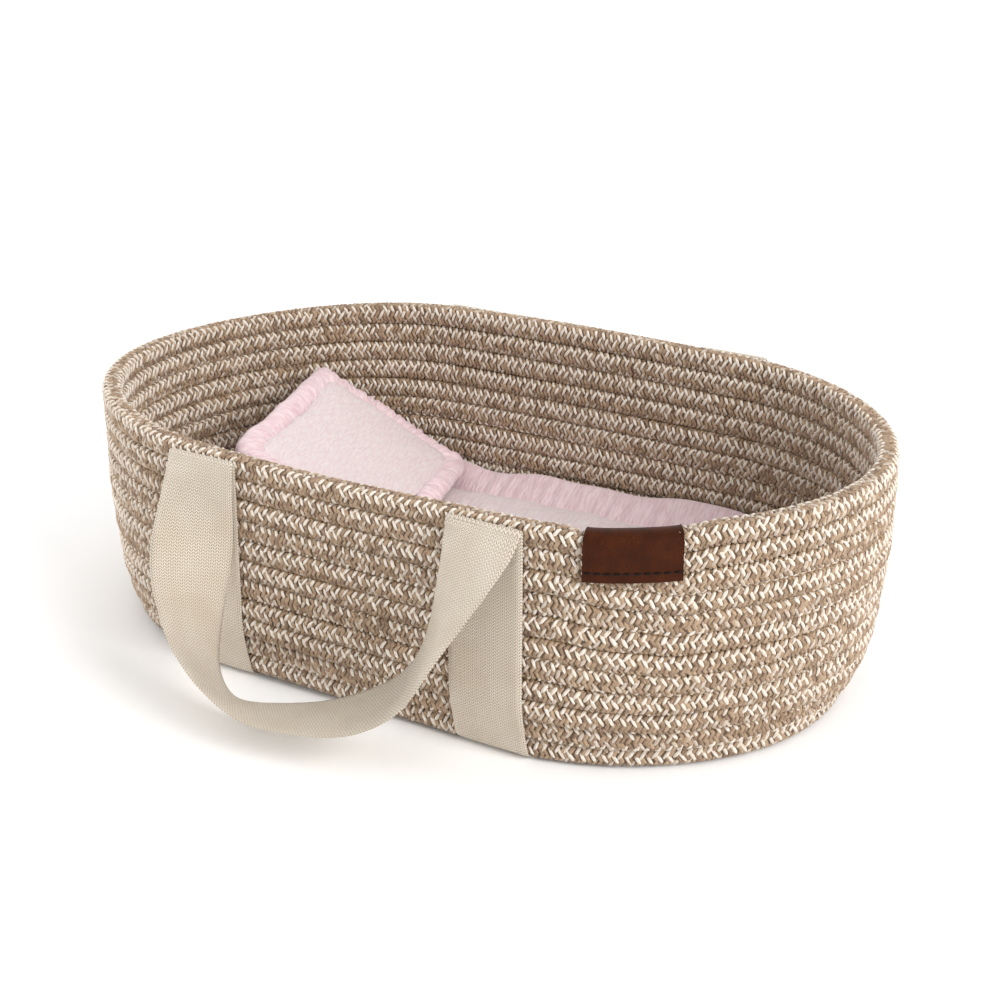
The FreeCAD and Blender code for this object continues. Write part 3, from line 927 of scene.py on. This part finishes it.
def make_mattress(muslin, border_muslin):
    """The mattress: a swollen muslin pad, and its gathered border, which climbs the wall."""
    rings = []
    for inset, z in PAD_SECTION:
        flat, _ = racetrack(np.arange(PAD_AROUND) / PAD_AROUND, BASE_HALF_STRAIGHT, PAD_RADIUS - inset)
        rings.append(np.column_stack([flat, np.full(PAD_AROUND, z)]))
    pad = closed_rings("mattress_pad", np.array(rings))
    swell(pad, voxel=4.5 * MM, cap=3.5 * MM)
    points = read_vectors(pad.data.vertices, "co")
    normals = read_vectors(pad.data.vertex_normals, "vector")
    move = crinkles(points, PAD_CRINKLES) * np.clip(normals[:, 2] * 1.5, 0.2, 1)
    moved = points + normals * move[:, None]
    moved[:, 2] = moved[:, 2] + pad_rise(points)
    set_places(pad.data, moved)
    finish_muslin(pad, points, muslin, "mattress", 0.7, "mattress_cover", "mattress_filling")

    count = PAD_BORDER_AROUND
    t = np.arange(count) / count
    start, out = racetrack(t, BASE_HALF_STRAIGHT, PAD_RADIUS - SEAM_INSET)
    wave = 1.6 * MM * slow_noise(t, 51, waves=9, lowest=3)
    back = smoothstep(out[:, 1] * 2)
    low = PAD_TOP - 4.6 * MM + pad_rise(np.column_stack([start, np.full(count, PAD_TOP)]))
    high = low + (9.0 + 3.5 * back) * MM + wave
    high = high + 4.5 * MM * back * np.exp(-((start[:, 0] - 95 * MM) / (45 * MM)) ** 2)
    reach = PAD_BORDER_REACH - PAD_RADIUS + SEAM_INSET
    line = np.column_stack([start, low])
    tip = np.column_stack([start + out * reach, high])
    gathered_border(
        "mattress_border", line, tip, PAD_BORDER_THICKNESS, 61, border_muslin, "mattress", 0.4
    )


def pad_rise(points):
    """How far the soft pad's upper side rises towards the far wall."""
    back = smoothstep((points[:, 1] - 0.45 * PAD_RADIUS) / (0.55 * PAD_RADIUS))
    middle = 1 - 0.5 * np.clip(np.abs(points[:, 0] - 50 * MM) / (120 * MM), 0, 1) ** 2
    return PAD_BACK_RISE * back * middle * smoothstep((points[:, 2] - PAD_BOTTOM) / (10 * MM))


def gathered_border(name, seam, tip, thickness, seed, muslin, body, fill):
    """A puffy, gathered strip of muslin between a seam and an outer edge, both closed lines."""
    count = len(seam)
    across = tip - seam
    length = np.linalg.norm(across, axis=1, keepdims=True)
    across = across / length
    along = unit(np.roll(seam, -1, axis=0) - np.roll(seam, 1, axis=0))
    normal = np.cross(along, across)
    normal = normal * np.sign(normal[:, 2:3].sum())
    t = np.arange(count) / count
    pleats = slow_noise(t, seed, waves=60, lowest=int(count / 12))
    angle = np.arange(BORDER_SIDES) / BORDER_SIDES * 2 * math.pi
    side = 0.5 + 0.5 * np.cos(angle)
    bulge = np.sign(np.sin(angle)) * np.abs(np.sin(angle)) ** 0.8
    puff = 1 + 0.28 * pleats[:, None] * (1 - 0.5 * side)
    reach = length * (1 + 0.03 * slow_noise(t, seed + 1, waves=20, lowest=6)[:, None])
    points = seam[:, None, :] + across[:, None, :] * (reach * side)[:, :, None]
    points = points + normal[:, None, :] * (thickness / 2 * bulge[None, :] * puff)[:, :, None]
    coordinates = np.stack(np.broadcast_arrays(
        distance_along(seam)[:, None], reach * side, (thickness / 2 * bulge)[None, :]
    ), axis=-1)
    faces = grid_faces(count + 1, BORDER_SIDES, closed=True) % (count * BORDER_SIDES)
    piece = mesh_object(name, points, faces)
    finish_muslin(piece, coordinates.reshape(-1, 3), muslin, body, fill)


def closed_rings(name, rings):
    """A closed form from rings of points, the first and last closed with one face each."""
    count = rings.shape[1]
    mesh = bpy.data.meshes.new(name)
    faces = grid_faces(len(rings), count, closed=True).tolist()
    faces.append(list(range(count))[::-1])
    faces.append(list(range((len(rings) - 1) * count, len(rings) * count)))
    mesh.from_pydata(rings.reshape(-1, 3).tolist(), [], faces)
    mesh.validate()
    body = bmesh.new()
    body.from_mesh(mesh)
    bmesh.ops.recalc_face_normals(body, faces=body.faces)
    body.to_mesh(mesh)
    body.free()
    piece = bpy.data.objects.new(name, mesh)
    bpy.context.scene.collection.objects.link(piece)
    return piece


def pillow_turn():
    """Local axes of the leaning pillow: down the slope, across, and out of its face."""
    yaw = np.array([
        [math.cos(PILLOW_YAW), -math.sin(PILLOW_YAW), 0],
        [math.sin(PILLOW_YAW), math.cos(PILLOW_YAW), 0],
        [0, 0, 1],
    ])
    tilt = np.array([
        [math.cos(PILLOW_TILT), 0, math.sin(PILLOW_TILT)],
        [0, 1, 0],
        [-math.sin(PILLOW_TILT), 0, math.cos(PILLOW_TILT)],
    ])
    return yaw @ tilt


def soft_rectangle(count, half, power, pull):
    """A closed line round a rectangle with rounded corners and edges that pull in."""
    angle = (np.arange(count) + 0.5) / count * 2 * math.pi
    corner = np.abs(np.cos(angle)) ** power + np.abs(np.sin(angle)) ** power
    flat = np.column_stack([np.cos(angle), np.sin(angle)]) / corner[:, None] ** (1 / power)
    flat[:, 0] = flat[:, 0] - np.sign(flat[:, 0]) * pull * (1 - flat[:, 1] ** 2) * np.abs(flat[:, 0]) ** 6
    flat[:, 1] = flat[:, 1] - np.sign(flat[:, 1]) * pull * (1 - flat[:, 0] ** 2) * np.abs(flat[:, 1]) ** 6
    return flat * half


def make_pillow(muslin, border_muslin):
    """The pillow: a swollen panel and a puffy gathered border, leaning on the head end."""
    turn = pillow_turn()
    inner = PILLOW_HALF - PILLOW_BORDER
    rings = []
    for share, height in PILLOW_SECTION:
        flat = soft_rectangle(PILLOW_AROUND, (inner + 2 * MM) * share, 16, 0.01)
        rings.append(np.column_stack([flat, np.full(PILLOW_AROUND, height)]))
    panel = closed_rings("pillow_panel", np.array(rings))
    swell(panel, voxel=3.4 * MM, cap=2.0 * MM)
    points = read_vectors(panel.data.vertices, "co")
    normals = read_vectors(panel.data.vertex_normals, "vector")
    moved = points + normals * crinkles(points, PILLOW_CRINKLES)[:, None]
    set_places(panel.data, moved @ turn.T + PILLOW_CENTRE)
    finish_muslin(panel, points, muslin, "pillow", 0.6, "pillow_cover", "pillow_filling")

    count = PILLOW_BORDER_AROUND
    seam = soft_rectangle(count, inner - 3 * MM, 16, 0.02)
    edge = soft_rectangle(count, PILLOW_HALF, 14, 0.02)
    t = np.arange(count) / count
    lift = 1.0 * MM * slow_noise(t, 71, waves=6, lowest=2)
    seam = np.column_stack([seam, lift * 0.3]) @ turn.T + PILLOW_CENTRE
    edge = np.column_stack([edge, lift]) @ turn.T + PILLOW_CENTRE
    gathered_border(
        "pillow_border", seam, edge, PILLOW_BORDER_THICKNESS, 81, border_muslin, "pillow", 0.5
    )


# ---- materials ------------------------------------------------------------------------------


def linear(colour):
    """An sRGB colour as linear RGBA."""
    values = [c / 12.92 if c <= 0.04045 else ((c + 0.055) / 1.055) ** 2.4 for c in colour]
    return (*values, 1.0)


class Nodes:
    """A short way to write a material's nodes."""

    def __init__(self, name, roughness):
        self.material = bpy.data.materials.new(name)
        self.material.use_nodes = True
        self.tree = self.material.node_tree
        self.shader = self.tree.nodes["Principled BSDF"]
        self.shader.inputs["Roughness"].default_value = roughness

    def add(self, kind, inputs=(), **settings):
        node = self.tree.nodes.new(kind)
        for key, value in settings.items():
            setattr(node, key, value)
        for key, value in inputs:
            self.put(value, node.inputs[key])
        return node

    def put(self, value, socket):
        if isinstance(value, bpy.types.NodeSocket):
            self.tree.links.new(value, socket)
        else:
            socket.default_value = value

    def math(self, operation, a, b=0.0):
        return self.add("ShaderNodeMath", ((0, a), (1, b)), operation=operation).outputs[0]

    def attribute(self, name, output="Fac"):
        return self.add("ShaderNodeAttribute", attribute_name=name).outputs[output]

    def noise(self, vector, scale, detail=2.0):
        node = self.add("ShaderNodeTexNoise", (("Scale", scale), ("Detail", detail)))
        self.put(vector, node.inputs["Vector"])
        return node.outputs["Fac"]

    def mix(self, factor, a, b):
        node = self.add("ShaderNodeMix", data_type="RGBA")
        self.put(factor, node.inputs[0])
        self.put(a, node.inputs[6])
        self.put(b, node.inputs[7])
        return node.outputs[2]

    def ramp(self, value, low, high):
        node = self.add("ShaderNodeMapRange", (("Value", value), ("From Min", low), ("From Max", high)))
        return node.outputs[0]

    def scaled(self, vector, factors):
        node = self.add("ShaderNodeVectorMath", ((0, vector), (1, factors)), operation="MULTIPLY")
        return node.outputs[0]

    def bump(self, height, distance, strength=1.0):
        node = self.add("ShaderNodeBump", (("Strength", strength), ("Distance", distance)))
        self.put(height, node.inputs["Height"])
        self.put(node.outputs[0], self.shader.inputs["Normal"])


def rope_material():
    """Cotton strands: white or heathered tan, with fibres along each float, over a core painted dark as the
    shade between the floats.
    """
    m = Nodes("rope", 0.92)
    m.shader.inputs["Sheen Weight"].default_value = 0.15
    grain = m.attribute("grain", "Vector")
    fibres = m.noise(m.scaled(grain, (0.35, 2.4, 1.0)), 1.6, 3.0)
    shade = m.attribute("shade")
    tan = m.mix(m.ramp(shade, 0.0, 1.0), linear(TAN_DEEP), linear(TAN))
    tan = m.mix(m.ramp(fibres, 0.52, 0.70), tan, linear(TAN_LIGHT))
    pale = m.mix(m.ramp(fibres, 0.30, 0.62), linear(TAN_LIGHT), linear(WHITE_STRAND))
    strand = m.mix(m.attribute("white"), tan, pale)
    # the core takes the painted shade colour, dark as the gaps between the floats
    colour = m.mix(m.attribute("core"), strand, linear(ROPE_CORE_PAINTED_SHADE))
    m.put(colour, m.shader.inputs["Base Color"])
    m.bump(fibres, 0.25 * MM, 0.8)
    return m.material


def webbing_material():
    """Cotton webbing: narrow herringbone columns of small slanting floats, darker where the weave dips as
    painted shade.
    """
    m = Nodes("webbing", 0.9)
    m.shader.inputs["Sheen Weight"].default_value = 0.2
    weave = m.add("ShaderNodeSeparateXYZ", ((0, m.attribute("weave", "Vector")),))
    across, along = weave.outputs[0], weave.outputs[1]
    column = m.math("PINGPONG", across, WEAVE_COLUMN)
    slant = m.math("ADD", along, m.math("MULTIPLY", column, WEAVE_SLANT))
    rows = m.math("SINE", m.math("MULTIPLY", slant, 2 * math.pi / WEAVE_PITCH))
    ribs = m.math("COSINE", m.math("MULTIPLY", across, 2 * math.pi / WEAVE_COLUMN))
    height = m.math("ADD", m.math("MULTIPLY", rows, 0.68), m.math("MULTIPLY", ribs, 0.32))
    height = m.ramp(height, -0.9, 0.7)
    blotch = m.noise(m.attribute("weave", "Vector"), 0.05, 4.0)
    cream = m.mix(m.ramp(blotch, 0.35, 0.65), linear(CREAM), linear(CREAM_DULL))
    # painted shade: the low parts of the weave, by the same height as the bump, take a darker cream
    m.put(m.mix(m.ramp(height, 0.1, 0.65), linear(CREAM_PAINTED_SHADE), cream), m.shader.inputs["Base Color"])
    m.bump(height, 0.4 * MM, 1.0)
    return m.material


def leather_material():
    """Dark brown leather with a fine grain and soft blotches."""
    m = Nodes("leather", 0.42)
    m.shader.inputs["Specular IOR Level"].default_value = 0.08
    hide = m.attribute("hide", "Vector")
    grain = m.add("ShaderNodeTexVoronoi", (("Vector", hide), ("Scale", 1.1)), feature="DISTANCE_TO_EDGE")
    grain = m.ramp(grain.outputs["Distance"], 0.0, 0.18)
    blotch = m.noise(hide, 0.12, 4.0)
    colour = m.mix(m.ramp(blotch, 0.3, 0.7), linear(LEATHER_DARK), linear(LEATHER))
    m.put(m.mix(grain, linear(LEATHER_DARK), colour), m.shader.inputs["Base Color"])
    m.bump(grain, 0.12 * MM, 0.35)
    return m.material


def thread_material(name, colour, roughness):
    """Twisted thread of one colour."""
    m = Nodes(name, roughness)
    m.shader.inputs["Specular IOR Level"].default_value = 0.15
    place = m.add("ShaderNodeTexCoord").outputs["Object"]
    twist = m.noise(place, 900.0, 2.0)
    dark = tuple(c * 0.8 for c in colour)
    m.put(m.mix(m.ramp(twist, 0.35, 0.65), linear(dark), linear(colour)), m.shader.inputs["Base Color"])
    m.bump(twist, 0.1 * MM, 0.6)
    return m.material


def muslin_material(name, light, shade):
    """Double muslin: crinkled, loosely woven, slightly darker where its crinkles dip, as painted shade."""
    m = Nodes(name, 0.95)
    m.shader.inputs["Sheen Weight"].default_value = 0.2
    cloth = m.attribute("cloth", "Vector")
    crinkle = m.noise(m.scaled(cloth, (1.0, 0.14, 0.2)), 1.0, 3.0)
    gauze = m.noise(cloth, 2.6, 1.0)
    # painted shade: the colour darkens where the crinkle noise, which is also the bump, dips
    colour = m.mix(m.ramp(crinkle, 0.40, 0.58), linear(shade), linear(light))
    m.put(colour, m.shader.inputs["Base Color"])
    height = m.math("ADD", crinkle, m.math("MULTIPLY", gauze, 0.10))
    m.bump(height, 0.9 * MM, 0.8)
    return m.material


def floor_material():
    m = Nodes("floor", 0.9)
    m.shader.inputs["Base Color"].default_value = (0.97, 0.97, 0.97, 1)
    return m.material


# ---- stage ----------------------------------------------------------------------------------


def add_floor():
    """A plain pale floor."""
    size = 6.0
    corners = [(-size, -size, 0), (size, -size, 0), (size, size, 0), (-size, size, 0)]
    floor = mesh_object("floor", corners, [[0, 1, 2, 3]])
    floor.data.materials.append(floor_material())


def add_light(name, place, target, size, power):
    """A soft square light."""
    data = bpy.data.lights.new(name, "AREA")
    data.size = size
    data.energy = power
    light = bpy.data.objects.new(name, data)
    light.location = place
    light.rotation_euler = (Vector(place) - Vector(target)).to_track_quat("Z", "Y").to_euler()
    bpy.context.scene.collection.objects.link(light)


def add_lights():
    """Soft studio light: a big key beyond the foot end, a low light at the head end, a pale surround."""
    world = bpy.data.worlds.new("surround")
    world.use_nodes = True
    world.node_tree.nodes["Background"].inputs["Color"].default_value = (1, 1, 1, 1)
    world.node_tree.nodes["Background"].inputs["Strength"].default_value = 1.0
    bpy.context.scene.world = world
    add_light("key", (3.2, -0.8, 2.0), (0, 0, 0.05), 1.9, 104)
    add_light("low left", (-1.7, -0.3, 0.16), (0, 0, 0.06), 0.3, 17)


add_camera()
add_floor()
add_lights()
bpy.context.scene.view_settings.view_transform = "Standard"

rope = rope_material()
webbing = webbing_material()
cotton = thread_material("sewing_cotton", THREAD_TAN, 0.8)
strap_cotton = thread_material("strap_cotton", CREAM, 0.8)
label_thread = thread_material("waxed_thread", LABEL_THREAD, 0.5)
muslin = muslin_material("muslin", PINK, PINK_PAINTED_SHADE)
border_muslin = muslin_material("muslin_border", BORDER_PINK, BORDER_PAINTED_SHADE)
make_wall(rope)
make_base(rope)
make_thread(cotton)
make_webbing(webbing)
make_leg_stitches(strap_cotton)
make_label(leather_material(), label_thread)
make_mattress(muslin, border_muslin)
make_pillow(muslin, border_muslin)
